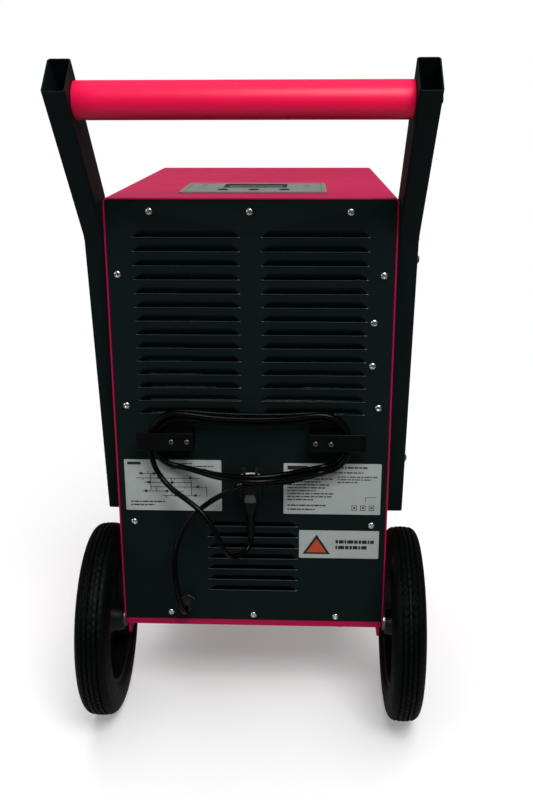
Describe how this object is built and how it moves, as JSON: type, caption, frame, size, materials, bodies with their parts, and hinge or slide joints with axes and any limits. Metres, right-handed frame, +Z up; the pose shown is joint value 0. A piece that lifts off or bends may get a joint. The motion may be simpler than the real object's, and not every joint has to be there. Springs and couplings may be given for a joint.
{
  "type": "commercial dehumidifier",
  "caption": "Wheeled commercial dehumidifier with louvred rear panel, push bar on bent posts, cord hooks, control panel on top, condensate tank, fan, compressor and coils inside.",
  "frame": {"origin": "on the floor, below the middle of the machine's box without its cord", "axes": "+Z up; +X to the right for a person standing behind the push bar; the louvred panel and the push bar face -Y, the air intake and the water tank face +Y"},
  "size_m": [0.558, 0.78, 1.033],
  "materials": {
    "red_paint": "satin",
    "grey_paint": "satin",
    "tyre_rubber": "matte",
    "black_rubber": "matte",
    "black_plastic": "satin",
    "black_metal": "satin",
    "zinc": "satin",
    "aluminium": "satin",
    "copper": "satin",
    "membrane": "matte",
    "dark_window": "gloss",
    "board_green": "satin",
    "clear_plastic": "gloss"
  },
  "bodies": {
    "machine": {"axle_bracket_left": "red_paint", "axle_bracket_right": "red_paint", "axle_washer_left": "zinc", "axle_washer_right": "zinc", "bar_bolt_left": "zinc", "bar_bolt_right": "zinc", "base_pan": "red_paint", "cable_gland": "black_plastic", "compressor": "black_metal", "compressor_mount_1": "black_rubber", "compressor_mount_2": "black_rubber", "compressor_mount_3": "black_rubber", "condenser": "aluminium", "control_board": "board_green", "control_plate": "membrane", "cord_from_gland": "black_rubber", "cord_hook_left": "black_plastic", "cord_hook_right": "black_plastic", "cord_to_plug": "black_rubber", "cord_winding": "black_rubber", "discharge_line": "copper", "display_window": "dark_window", "drip_tray": "aluminium", "electrical_box": "grey_paint", "evaporator": "aluminium", "fan_motor": "black_metal", "fan_shroud": "zinc", "front_leg_left": "grey_paint", "front_leg_right": "grey_paint", "front_panel": "red_paint", "handle_bar": "red_paint", "hub_cap_left": "zinc", "hub_cap_right": "zinc", "left_post": "grey_paint", "liquid_line": "copper", "mains_plug": "black_plastic", "mid_shelf": "zinc", "outer_shell": "red_paint", "post_bolt_left_lower": "zinc", "post_bolt_left_upper": "zinc", "post_bolt_right_lower": "zinc", "post_bolt_right_upper": "zinc", "rear_panel": "grey_paint", "right_post": "grey_paint", "rubber_foot_left": "black_rubber", "rubber_foot_right": "black_rubber", "run_capacitor": "aluminium", "suction_line": "copper", "wheel_axle": "zinc"},
    "left_wheel": {"rim_left": "grey_paint", "tyre_left": "tyre_rubber"},
    "right_wheel": {"rim_right": "grey_paint", "tyre_right": "tyre_rubber"},
    "fan": {"fan_blade": "black_plastic"},
    "left_key": {"key_left": "black_plastic"},
    "middle_key": {"key_middle": "black_plastic"},
    "right_key": {"key_right": "black_plastic"},
    "tank": {"water_tank": "clear_plastic"},
    "float": {"tank_float": "black_plastic"},
    "filter": {"air_filter": "black_plastic"}
  },
  "joints": [
    {"name": "left_wheel_spin", "type": "hinge", "parent": "machine", "child": "left_wheel", "pos_m": [-0.2435, -0.19103, 0.157], "axis": [1, 0, 0], "continuous": true},
    {"name": "right_wheel_spin", "type": "hinge", "parent": "machine", "child": "right_wheel", "pos_m": [0.2435, -0.19103, 0.157], "axis": [1, 0, 0], "continuous": true},
    {"name": "fan_spin", "type": "hinge", "parent": "machine", "child": "fan", "pos_m": [0, 0.08897, 0.6], "axis": [0, 1, 0], "continuous": true},
    {"name": "left_key_press", "type": "slide", "parent": "machine", "child": "left_key", "axis": [0, 0, -1], "range_m": [0, 0.0008], "stiffness_N_per_m": 400, "springref_m": -0.0012},
    {"name": "middle_key_press", "type": "slide", "parent": "machine", "child": "middle_key", "axis": [0, 0, -1], "range_m": [0, 0.0008], "stiffness_N_per_m": 400, "springref_m": -0.0012},
    {"name": "right_key_press", "type": "slide", "parent": "machine", "child": "right_key", "axis": [0, 0, -1], "range_m": [0, 0.0008], "stiffness_N_per_m": 400, "springref_m": -0.0012},
    {"name": "tank_slide", "type": "slide", "parent": "machine", "child": "tank", "axis": [0, 1, 0], "range_m": [0, 0.24]},
    {"name": "float_swing", "type": "hinge", "parent": "tank", "child": "float", "pos_m": [0.095, 0.12397, 0.2931], "axis": [1, 0, 0], "range_deg": [0, 20]},
    {"name": "filter_slide", "type": "slide", "parent": "machine", "child": "filter", "axis": [0, 1, 0], "range_m": [0, 0.03]}
  ]
}
